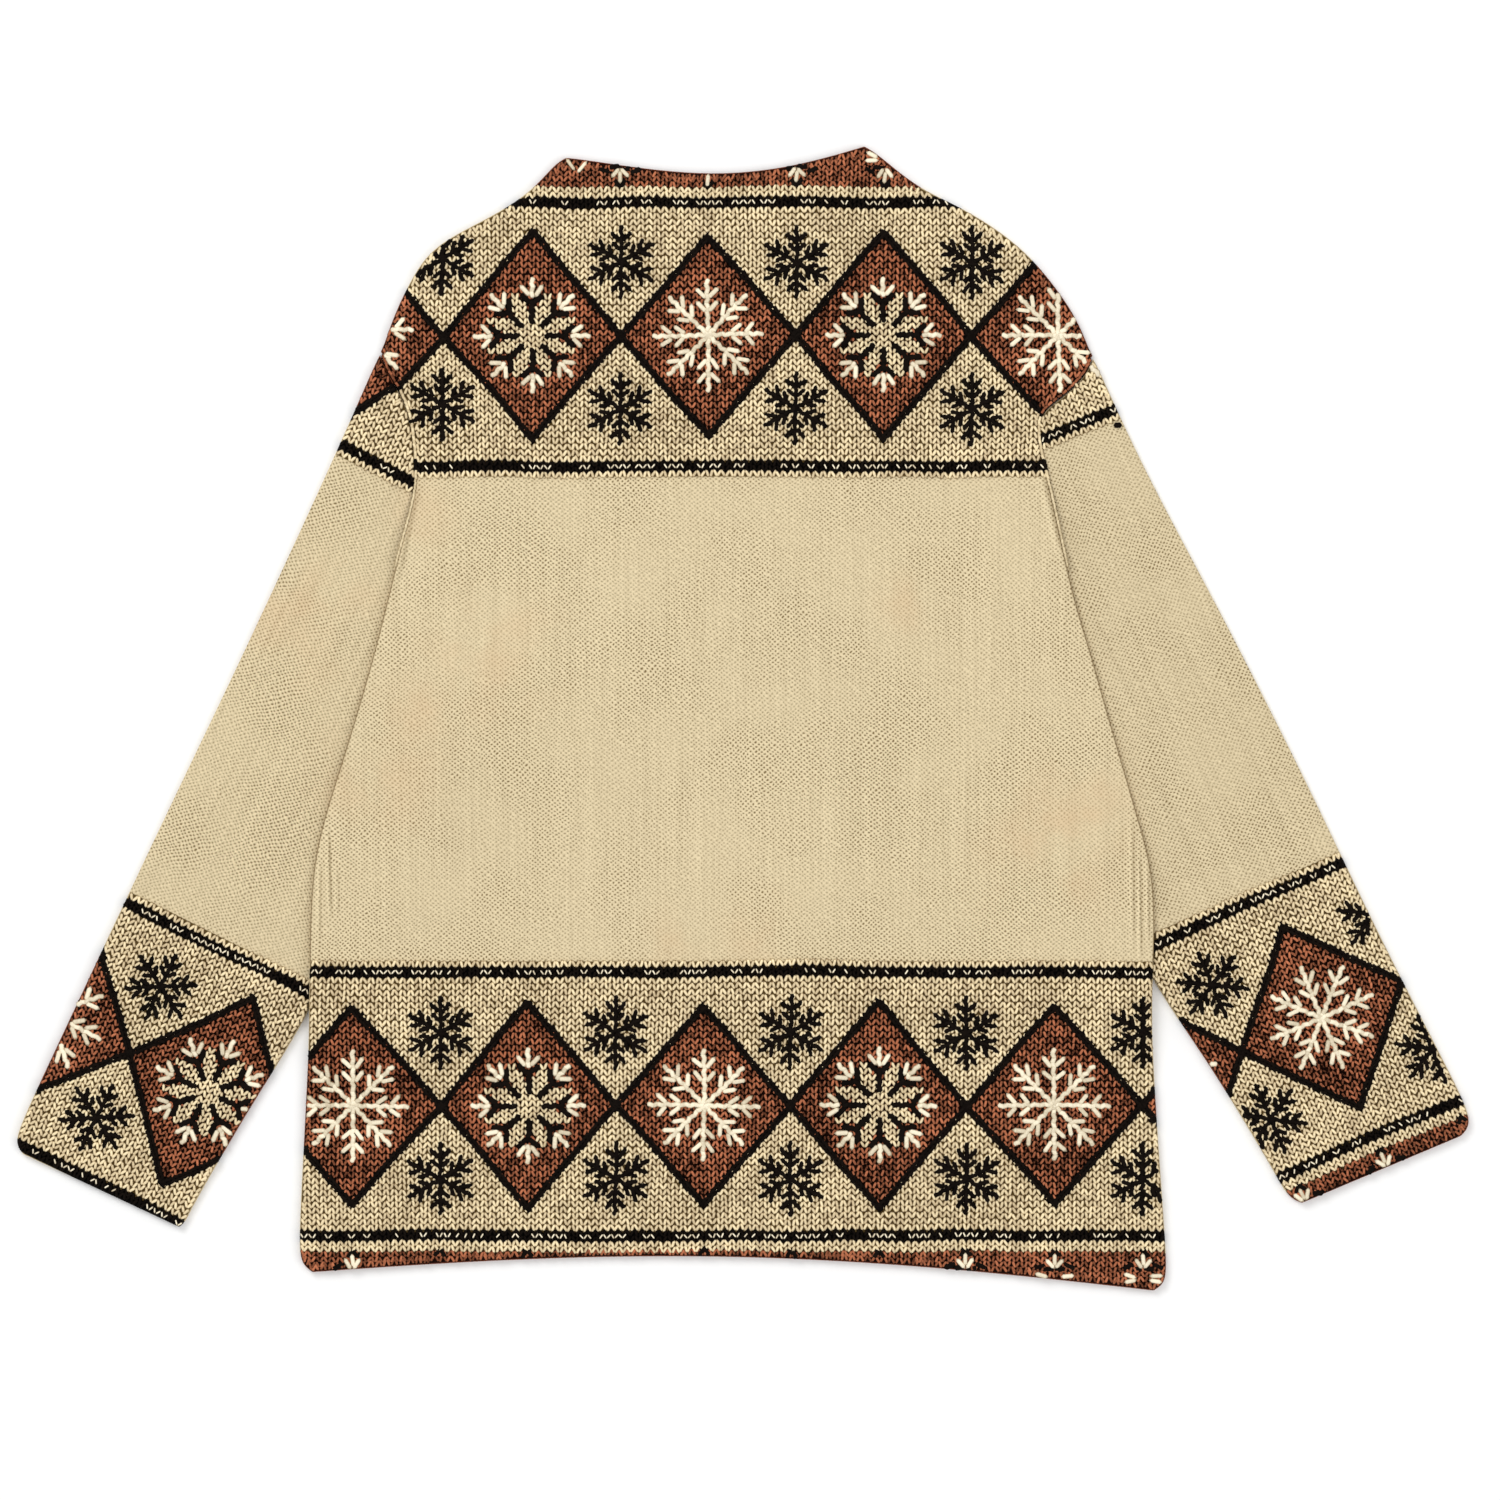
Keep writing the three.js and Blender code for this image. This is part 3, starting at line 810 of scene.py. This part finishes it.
def band_strokes(name, band):
    strokes = []
    if "edge" in band:
        ends = [to_band(band, point) for point in band["edge"]]
        strokes.append({"ends": ends, "yarn": "black", "way": "chain", "width": 2.6, "lift": 0.45})
    if band is BANDS["yoke"]:
        strokes += motif(NECK_CORNER, 1, (0, 0), "star", 2.6, 0.8)
    for index in range(-4, 5):
        middle = index * DIAMOND_PERIOD
        half = DIAMOND_PERIOD / 2
        if band["diamonds"]:
            kind = (index + band["kind"]) % 2
            pull = PULLED.get((name, index), {"star": (0, 0), "flake": (0, 0)})
            strokes += outline(middle, kind)
            strokes += star(kind, (middle + pull["star"][0], pull["star"][1]))
            for level in (43.8, -43.8):
                flake_middle = (middle + half + pull["flake"][0], level + pull["flake"][1])
                strokes += motif(FLAKE_ARM, 6, flake_middle, "black", 3.2, 0.7)
            for place in (middle, middle + half):
                for level, turn in ((100.0, 0.0), (-97.6, math.pi)):
                    strokes += motif(TUFT_BACKING, 1, (place, level), "black", 4.2, 0.2, turn)
                    strokes += motif(TUFT, 1, (place, level), "star", 3.1, 0.9, turn)
    return strokes


print("strokes in the yoke:", len(band_strokes("yoke", BANDS["yoke"])))

# %% [markdown]
# ## Laying the stitches on the cloth
# A stitch of stockinette shows as two legs that lean towards each other. `stitch_legs`
# walks over the rows and columns of a band and `stroke_legs` along its strokes. A slow
# wave over the whole garment shifts them all a little, because no knit is quite straight.
# Each leg is dropped on to the cloth from above. It is left out where it misses its panel,
# and on a sleeve where the back covers it. Only the stars and snowflakes of the yoke go on
# over the armhole seams. At the garment's edge the legs of the ground are drawn in and
# those of the strokes left out, so that the edge stays smooth.

# %% Legs of the ground and of the strokes
STITCH_WIDTH = 4.8
ROWS_TO_STRIPE = 21
LEG_LEAN = math.radians(25)
LEG = {"width": 2.1, "length": 5.2, "height": 1.9}
FLECK = {"width": 1.15, "length": 3.7, "height": 1.5, "lift": 0.8, "lean": math.radians(33)}
FLECK_RUNS = 0.66  # the share of a stripe that has light flecks
BAND_REACH = 340  # how far a band can go to each side of its middle
STROKE_SHIFT = 1.5  # a leg of a stroke that would have to move further is left out
COMPASS = [Vector((math.cos(a), math.sin(a))) for a in (i * math.pi / 4 for i in range(8))]


def row_places(band):
    """The heights of a band's rows: even up to the stripes, denser from there on."""
    places = []
    for side, start in ((1, STRIPE_FROM[0]), (-1, STRIPE_FROM[1])):
        even = start / ROWS_TO_STRIPE
        places += [side * (row + 0.5) * even for row in range(ROWS_TO_STRIPE)]
        places += [side * (start + (row + 0.5) * FINE_ROW) for row in range(16)]
    return sorted(up for up in places if band["low"] < up < band["high"])


def new_leg(place, turn, yarn, dice, lift=0.0, size=LEG, way=""):
    return {"place": place, "turn": turn + dice.uniform(-0.17, 0.17), "yarn": yarn,
            "stroke": way != "", "over": way in ("leaf", "rope"),
            "lift": lift + dice.uniform(-0.14, 0.14), "size": size, "tone": dice.random()}


def stitch_legs(band, dice):
    columns = int(BAND_REACH / STITCH_WIDTH)
    for up in row_places(band):
        for column in range(-columns, columns + 1):
            for side in (-1, 1):
                across = column * STITCH_WIDTH + side * STITCH_WIDTH / 4
                spot = Vector((across + dice.uniform(-0.25, 0.25), up + dice.uniform(-0.35, 0.35)))
                yarn = ground(band, across, up)
                yield new_leg(spot, -side * LEG_LEAN, yarn, dice)


def fleck_legs(band, dice):
    """Thin light legs along the middle of each stripe, in runs."""
    columns = int(BAND_REACH / STITCH_WIDTH)
    for way, start in ((1, STRIPE_FROM[0]), (-1, STRIPE_FROM[1])):
        up, light = way * (start + FINE_ROW), False
        for column in range(-columns, columns + 1):
            if dice.random() < 0.85:
                light = dice.random() < FLECK_RUNS
            if not light:
                continue
            for side in (-1, 1):
                spot = Vector((column * STITCH_WIDTH + side * STITCH_WIDTH / 4, up))
                if band["low"] < up < band["high"] and dice.random() < 0.78:
                    yield new_leg(spot, -side * FLECK["lean"], "star", dice, FLECK["lift"], FLECK)


def stroke_legs(strokes, dice):
    for stroke in strokes:
        start, end = stroke["ends"]
        way = end - start
        side_way = Vector((way.y, -way.x)).normalized()
        turn = math.atan2(-way.x, way.y)
        size = {"width": stroke["width"], "length": 5.4, "height": 1.9}
        if stroke["way"] == "leaf":
            size["length"] = way.length + 1.8
            yield new_leg((start + end) / 2, turn, stroke["yarn"], dice, stroke["lift"], size, "leaf")
            continue
        steps = max(2, round(way.length / 2.9) + 1)
        for step in range(steps):
            place = start + way * ((step + 0.3) / (steps - 0.4))
            if stroke["way"] == "rope":
                lean = (0.34, -0.34)[step % 2]
                yield new_leg(place, turn + lean, stroke["yarn"], dice, stroke["lift"], size, "rope")
                continue
            for side in (-1, 1):
                spot = place + side_way * (side * 0.95)
                yield new_leg(spot, turn - side * 0.3, stroke["yarn"], dice, stroke["lift"], size, "chain")


def surface_of(shell):
    tree = BVHTree.FromObject(shell, bpy.context.evaluated_depsgraph_get())

    def top(place):
        hit = tree.ray_cast(Vector((place.x * MM, place.y * MM, 1.0)), Vector((0, 0, -1)))
        return hit[0].z if hit[0] else None
    return top


surfaces = {node: surface_of(shell) for node, shell in shells.items()}


def is_bare(place):
    return all(top(place) is None for top in surfaces.values())


def drawn_in(place, turn, size):
    """The place of a leg moved off the garment's edge, or None if it still reaches past."""
    tip = Vector((-math.sin(turn), math.cos(turn))) * (size["length"] / 2 - 0.6)
    moved = place.copy()
    for _ in range(4):
        pull = Vector((0, 0))
        for end in (tip, -tip):
            pull -= end.normalized() * (3 * is_bare(moved + end))
        for way in COMPASS:
            pull -= way * (is_bare(moved + way * (size["width"] / 2))
                           + is_bare(moved + tip + way * 0.6) + is_bare(moved - tip + way * 0.6))
        if pull.length < 0.1:
            return moved
        moved += pull.normalized() * 0.7
    return None


def wave(place):
    slow = noise.noise_vector(Vector((place.x, place.y, 0)) * 0.021)
    return Vector((slow.x, slow.y)) * 1.5


def lay_band(name, band):
    """The laid legs of one band, by yarn."""
    dice = random.Random(name)
    angle = math.radians(band["turn"])
    by_yarn = {}
    strokes = band_strokes(name, band)
    legs = [*stitch_legs(band, dice), *fleck_legs(band, dice), *stroke_legs(strokes, dice)]
    for leg in legs:
        if not band["low"] < leg["place"].y < band["high"]:
            continue
        place = to_garment(band, *leg["place"])
        place += wave(place)
        top = surfaces[band["panel"]]
        for panel in band.get("over", []) if leg["over"] else []:
            if surfaces["back"](place) is None and surfaces[panel](place) is not None:
                top = surfaces[panel]
        if top(place) is None:
            continue
        inside = drawn_in(place, leg["turn"] + angle, leg["size"])
        if inside is None or (leg["stroke"] and (inside - place).length > STROKE_SHIFT):
            continue
        place = inside
        level = top(place)
        if level is None or (band["panel"] != "back" and surfaces["back"](place) is not None):
            continue
        size = leg["size"]
        by_yarn.setdefault(leg["yarn"], []).append({
            "place": (place.x * MM, place.y * MM, level + leg["lift"] * MM),
            "turn": leg["turn"] + angle, "tone": leg["tone"],
            "size": (size["width"], size["length"], size["height"])})
    return by_yarn


# %% [markdown]
# ## The armhole seams
# Each sleeve is grafted on to the body with a row of stitches. Going down the armhole, the
# edge of the back is found from above, and where a sleeve starts right beside it a leg is
# laid over the join, in the yarn of the band there, or fine and oatmeal in the plain cloth.

# %% Seam stitches
SEAM_TOP, SEAM_BOTTOM, SEAM_STEP = 221, 86, 2.3
SEAM_LEG = {"width": 2.3, "length": 4.6, "height": 1.9}
SEAM_FINE = {"width": 1.7, "length": 3.6, "height": 1.0}


def edge_of_back(side, y):
    """How far out the back reaches at a height on the garment."""
    x = side * 150.0
    while surfaces["back"](Vector((x, y))) is not None:
        x += side * 0.25
    return Vector((x, y))


def seam_legs(side, sleeve):
    dice = random.Random(sleeve)
    yoke, legs = BANDS["yoke"], []
    count = int((SEAM_TOP - SEAM_BOTTOM) / SEAM_STEP)
    edge = [edge_of_back(side, SEAM_TOP - step * SEAM_STEP) for step in range(count)]
    for step in range(1, count - 1):
        spot = edge[step] + Vector((side * 0.2, 0))
        if surfaces[sleeve](spot + Vector((side * 2.0, 0))) is None or is_bare(spot):
            if surfaces[sleeve](spot + Vector((side * 2.6, -1.0))) is None:
                continue
        up = spot.y - yoke["y"]
        fine = up < yoke["low"]
        yarn = "oatmeal" if fine else ground(yoke, spot.x - yoke["x"], up)
        way = edge[step + 1] - edge[step - 1]
        inside = surfaces["back"](edge[step] - Vector((side * 2.0, 0)))
        size = SEAM_FINE if fine else SEAM_LEG
        legs.append({"place": (spot.x * MM, spot.y * MM, inside - (0.35 if fine else 0.2) * MM),
                     "turn": math.atan2(-way.x, way.y) + dice.uniform(-0.25, 0.25), "yarn": yarn,
                     "tone": dice.random(), "size": (size["width"], size["length"], size["height"])})
    return legs


laid = {name: lay_band(name, band) for name, band in BANDS.items()}
for name, side in (("sleeve_left", -1), ("sleeve_right", 1)):
    cap = laid["cap_left" if side < 0 else "cap_right"]
    for leg in seam_legs(side, name):
        cap.setdefault(leg["yarn"], []).append(leg)
for name, by_yarn in laid.items():
    print(name, {yarn: len(legs) for yarn, legs in by_yarn.items()})

# %% [markdown]
# ## One leg of yarn, repeated by Geometry Nodes
# A leg is a small rounded spindle of 16 triangles. Its ridge carries the number 1 and its
# foot 0, which the yarn's colour uses to paint a highlight along the ridge and shade at the
# foot. The nodes put one on every point, turn and size it by the point's own numbers, and
# realize the copies. The result is read back as a plain mesh.

# %% The leg and the node tree


def leg_object():
    rings = []
    for y in (-0.29, 0.29):
        rings += [(-0.5, y, 0.0), (-0.25, y, 0.72), (0.25, y, 0.72), (0.5, y, 0.0)]
    points = [(0, -0.5, 0.1), *rings, (0, 0.5, 0.1)]
    faces = [(5, 6, 2, 1), (6, 7, 3, 2), (7, 8, 4, 3), (8, 5, 1, 4)]
    faces += [(0, 1, 2), (0, 2, 3), (0, 3, 4), (0, 4, 1)]
    faces += [(9, 6, 5), (9, 7, 6), (9, 8, 7), (9, 5, 8)]
    mesh = bpy.data.meshes.new("yarn_leg")
    mesh.from_pydata(points, [], faces)
    turned_out = bmesh.new()
    turned_out.from_mesh(mesh)
    bmesh.ops.recalc_face_normals(turned_out, faces=turned_out.faces)
    turned_out.to_mesh(mesh)
    turned_out.free()
    mesh.polygons.foreach_set("use_smooth", [True] * len(mesh.polygons))
    ridge = mesh.attributes.new("ridge", "FLOAT", "POINT")
    ridge.data.foreach_set("value", [1.0 if point[2] > 0.5 else 0.0 for point in points])
    return bpy.data.objects.new("yarn_leg", mesh)


leg_model = leg_object()


def stitch_tree():
    tree = bpy.data.node_groups.new("lay_stitches", "GeometryNodeTree")
    face = tree.interface
    face.new_socket("Points", in_out="INPUT", socket_type="NodeSocketGeometry")
    face.new_socket("Leg", in_out="INPUT", socket_type="NodeSocketObject")
    face.new_socket("Unit", in_out="INPUT", socket_type="NodeSocketFloat")
    face.new_socket("Yarn", in_out="INPUT", socket_type="NodeSocketMaterial")
    face.new_socket("Stitches", in_out="OUTPUT", socket_type="NodeSocketGeometry")
    new = tree.nodes.new
    start, end = new("NodeGroupInput"), new("NodeGroupOutput")
    model = new("GeometryNodeObjectInfo")
    copies = new("GeometryNodeInstanceOnPoints")
    turn, size = new("GeometryNodeInputNamedAttribute"), new("GeometryNodeInputNamedAttribute")
    size.data_type = "FLOAT_VECTOR"
    turn.inputs["Name"].default_value = "turn"
    size.inputs["Name"].default_value = "size"
    rotation, scale = new("ShaderNodeCombineXYZ"), new("ShaderNodeVectorMath")
    scale.operation = "SCALE"
    real, paint = new("GeometryNodeRealizeInstances"), new("GeometryNodeSetMaterial")
    for a, b in (
        (start.outputs["Leg"], model.inputs["Object"]),
        (start.outputs["Points"], copies.inputs["Points"]),
        (model.outputs["Geometry"], copies.inputs["Instance"]),
        (turn.outputs["Attribute"], rotation.inputs["Z"]),
        (rotation.outputs[0], copies.inputs["Rotation"]),
        (size.outputs["Attribute"], scale.inputs[0]),
        (start.outputs["Unit"], scale.inputs["Scale"]),
        (scale.outputs[0], copies.inputs["Scale"]),
        (copies.outputs[0], real.inputs[0]),
        (real.outputs[0], paint.inputs["Geometry"]),
        (start.outputs["Yarn"], paint.inputs["Material"]),
        (paint.outputs[0], end.inputs[0]),
    ):
        tree.links.new(a, b)
    return tree


lay_stitches = stitch_tree()
print("leg triangles:", sum(len(f.vertices) - 2 for f in leg_model.data.polygons))

# %% [markdown]
# ## The yarns
# Wool is matt and a little hairy. Each yarn is painted with shade at a leg's foot and a
# highlight along its ridge, and the leg's own tone and a fine noise vary it, so that
# neighbouring stitches differ as spun wool does. A small bump stands for its fibres.

# %% Yarn materials
# dark is the painted shade at a leg's foot, light the painted highlight along its ridge.
# bias makes a yarn lighter or darker as a whole, contrast how much its strands differ.
YARNS = {
    "cream": {"dark": srgb(120, 86, 46), "light": srgb(255, 236, 193), "bias": -0.02,
              "contrast": 1.0, "slot": "band_knit"},
    "star": {"dark": srgb(150, 128, 94), "light": srgb(255, 244, 216), "bias": -0.04,
             "contrast": 1.15, "slot": "cream_yarn"},
    "rust": {"dark": srgb(20, 4, 1), "light": srgb(212, 130, 92), "bias": -0.33,
             "contrast": 1.45, "slot": "rust_yarn"},
    "black": {"dark": srgb(2, 1, 1), "light": srgb(22, 16, 12), "bias": -0.1,
              "contrast": 1.3, "slot": "black_yarn"},
    "oatmeal": {"dark": srgb(150, 130, 92), "light": srgb(232, 214, 176), "bias": 0.0,
                "contrast": 1.0, "slot": "band_knit"},
}


def yarn_material(name, dark, light, bias, contrast):
    tree = Tree(name + "_yarn", roughness=0.95)
    place = tree.node("ShaderNodeTexCoord", None, output="Object")
    tone = tree.node("ShaderNodeAttribute", {"attribute_name": "tone"}, output="Fac")
    ridge = tree.node("ShaderNodeAttribute", {"attribute_name": "ridge"}, output="Fac")
    fibre = tree.noise(place, 900.0, 2.0) - 0.5
    cloud = tree.noise(place, 26.0, 2.0) - 0.5
    # ridge paints a highlight along the leg's top and shade at its foot; tone, fibre and cloud are the wool's own
    # variation
    share = ridge * 0.58 + tone * 0.42 + fibre * 0.55 + cloud * 0.4 + bias
    share = (share - 0.45) * contrast + 0.45
    tree.colour(tree.mix_colour(share.math("MAXIMUM", 0.0).math("MINIMUM", 1.0), dark, light))
    tree.bump(fibre, 0.25 * MM, 0.6)
    return tree.material


yarn_materials = {name: yarn_material(name, yarn["dark"], yarn["light"], yarn["bias"],
                                       yarn["contrast"])
                  for name, yarn in YARNS.items()}


def stitch_piece(name, legs, yarn):
    """One mesh of all the legs of a yarn in a band."""
    mesh = bpy.data.meshes.new(name)
    mesh.from_pydata([leg["place"] for leg in legs], [], [])
    for key in ("turn", "tone"):
        mesh.attributes.new(key, "FLOAT", "POINT").data.foreach_set("value", [leg[key] for leg in legs])
    sizes = [part for leg in legs for part in leg["size"]]
    mesh.attributes.new("size", "FLOAT_VECTOR", "POINT").data.foreach_set("vector", sizes)
    piece = bpy.data.objects.new(name, mesh)
    scene.collection.objects.link(piece)
    modifier = piece.modifiers.new("stitches", "NODES")
    modifier.node_group = lay_stitches
    sockets = {s.name: s.identifier for s in lay_stitches.interface.items_tree if s.in_out == "INPUT"}
    modifier[sockets["Leg"]] = leg_model
    modifier[sockets["Unit"]] = MM
    modifier[sockets["Yarn"]] = yarn_materials[yarn]
    evaluated = piece.evaluated_get(bpy.context.evaluated_depsgraph_get())
    finished = bpy.data.meshes.new_from_object(evaluated)
    piece.modifiers.clear()
    piece.data = finished
    for key in ("turn", "size"):
        if key in finished.attributes:
            finished.attributes.remove(finished.attributes[key])
    return piece


stitch_pieces = {node: [] for node in PANELS}
for band_name, by_yarn in laid.items():
    for yarn, legs in sorted(by_yarn.items()):
        piece = stitch_piece(f"{band_name}_{yarn}_stitches", legs, yarn)
        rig.ride(piece, "root")
        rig.slot(piece, YARNS[yarn]["slot"])
        stitch_pieces[BANDS[band_name]["panel"]].append(piece)
        triangles = sum(len(f.vertices) - 2 for f in piece.data.polygons)
        print(piece.name, triangles, "triangles")
bpy.data.objects.remove(leg_model)

# %% [markdown]
# ## Handing over the pieces
# Each shell rides on the garment's only body, stands for its frame solid, and is declared
# as a sheet of cloth with the size it was knitted to. A sleeve is a tube, so its size is
# taken all round.

# %% Riding, replacing and declaring
for node, panel in PANELS.items():
    shell = shells[node]
    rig.ride(shell, "root")
    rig.replaces(shell, node)
    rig.slot(shell, "oatmeal_knit")
    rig.sheet(shell, flat=panel["flat"], area=panel["area"], held="laid",
             rests_on=panel["on"], with_pieces=stitch_pieces[node])
    print(shell.name, "declared", panel["flat"])

# %% Sizes
with open("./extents.json", "w") as size_file:
    json.dump({"frame": frame_box, "visual": [list(corner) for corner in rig.bounds()]}, size_file)
